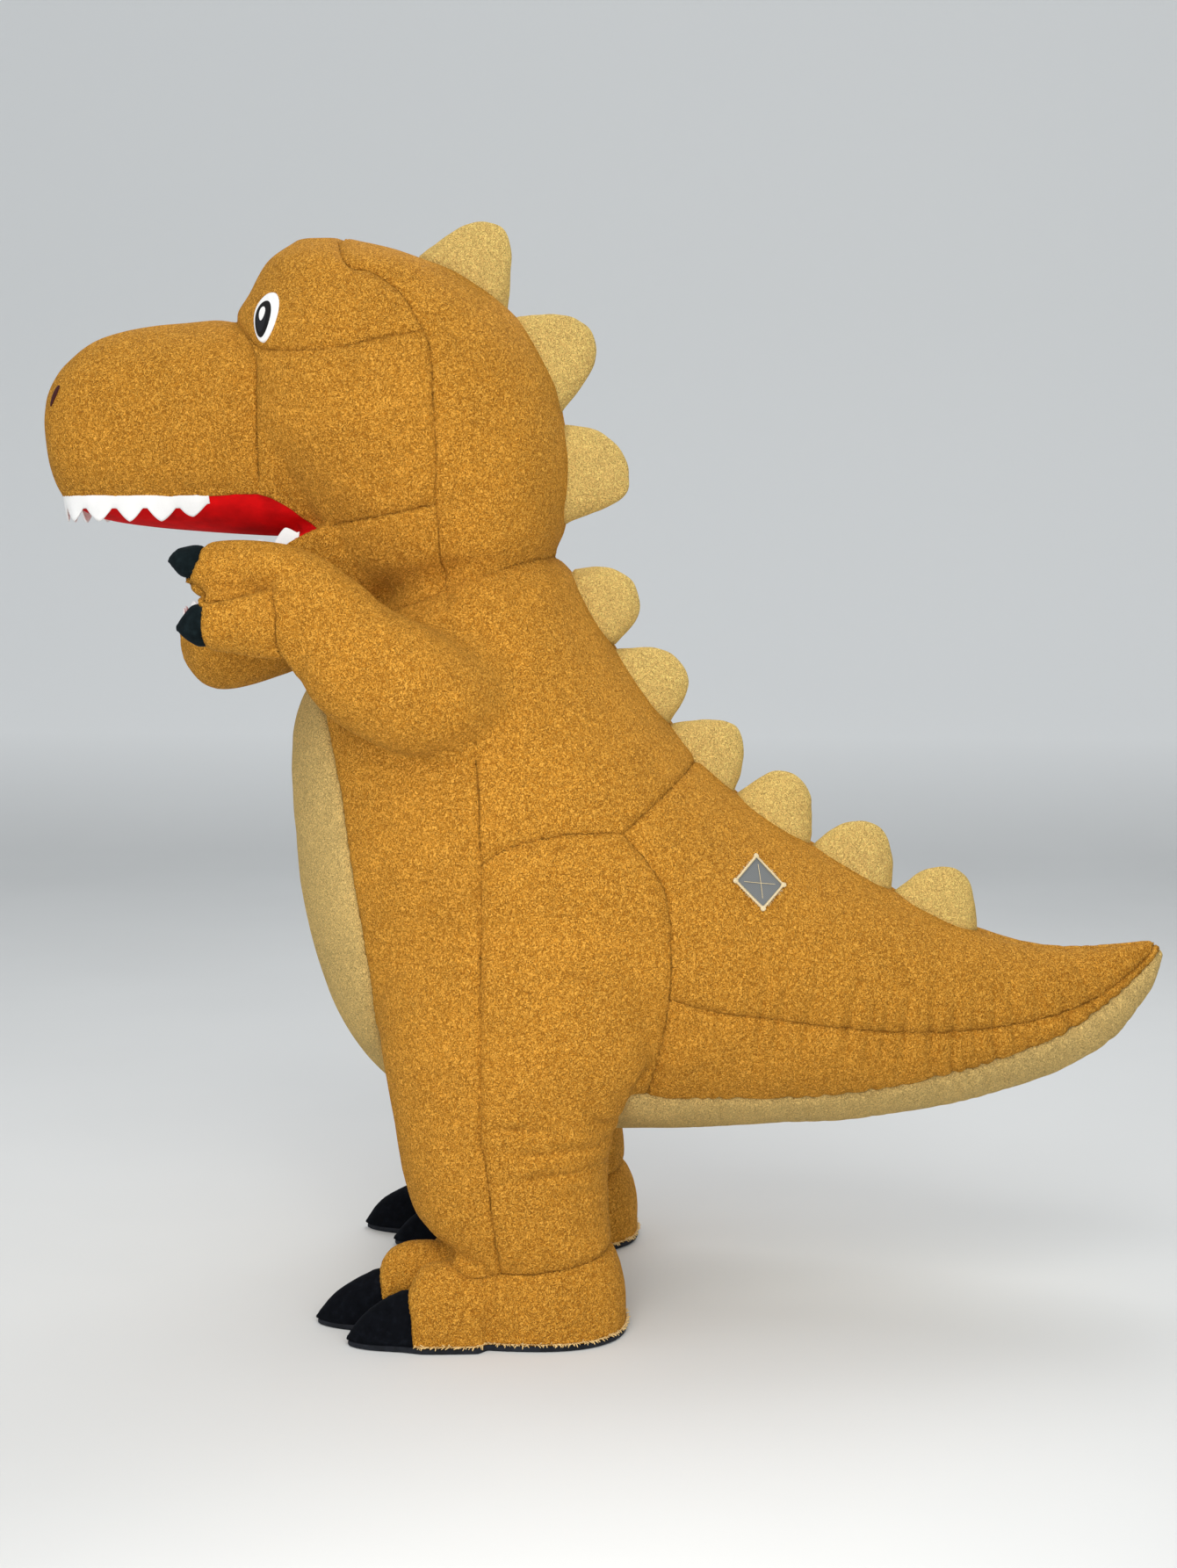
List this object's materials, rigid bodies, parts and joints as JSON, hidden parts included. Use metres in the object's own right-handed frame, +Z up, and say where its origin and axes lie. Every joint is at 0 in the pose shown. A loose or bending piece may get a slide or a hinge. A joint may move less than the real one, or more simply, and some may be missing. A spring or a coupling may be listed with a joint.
{
  "type": "inflatable dinosaur costume",
  "caption": "Standing inflated plush dinosaur costume with an open toothed mouth, padded back spines, short arms, clawed feet and a long tapering tail.",
  "frame": {"origin": "on the floor, at the middle of the length and on the middle plane", "axes": "+Z up, the nose points to -Y, the tail to +Y, and +X is the costume's own left side"},
  "size_m": [1.0008, 2.308, 2.203],
  "materials": {
    "brown": "short-pile plush",
    "cream": "short-pile plush",
    "red": "smooth cloth",
    "white": "felt",
    "black": "velvet and sole sheet",
    "slate": "velvet",
    "grey": "woven patch",
    "maroon": "satin stitch"
  },
  "bodies": {
    "root": {"snout": "brown", "crown": "brown", "palate": "red", "jaw_lining": "red", "teeth_upper": "white", "teeth_lower": "white", "belly": "cream", "tail_underside": "cream", "vent_patch": "grey", "spine_1": "cream", "spine_2": "cream", "spine_3": "cream", "spine_4": "cream", "spine_5": "cream", "spine_6": "cream", "spine_7": "cream", "spine_8": "cream", "spine_9": "cream", "cheek_L": "brown", "jaw_side_L": "brown", "skull_L": "brown", "torso_front_L": "brown", "torso_back_L": "brown", "thigh_L": "brown", "tail_upper_L": "brown", "tail_lower_L": "brown", "foot_L": "brown", "arm_L": "brown", "finger_L": "brown", "claw_outer_L": "black", "claw_middle_L": "black", "claw_inner_L": "black", "sole_L": "black", "pupil_L": "black", "hand_claw_upper_L": "slate", "hand_claw_lower_L": "slate", "eye_white_L": "white", "nostril_L": "maroon", "cheek_R": "brown", "jaw_side_R": "brown", "skull_R": "brown", "torso_front_R": "brown", "torso_back_R": "brown", "thigh_R": "brown", "tail_upper_R": "brown", "tail_lower_R": "brown", "foot_R": "brown", "arm_R": "brown", "finger_R": "brown", "claw_outer_R": "black", "claw_middle_R": "black", "claw_inner_R": "black", "sole_R": "black", "pupil_R": "black", "hand_claw_upper_R": "slate", "hand_claw_lower_R": "slate", "eye_white_R": "white", "nostril_R": "maroon"}
  },
  "joints": []
}
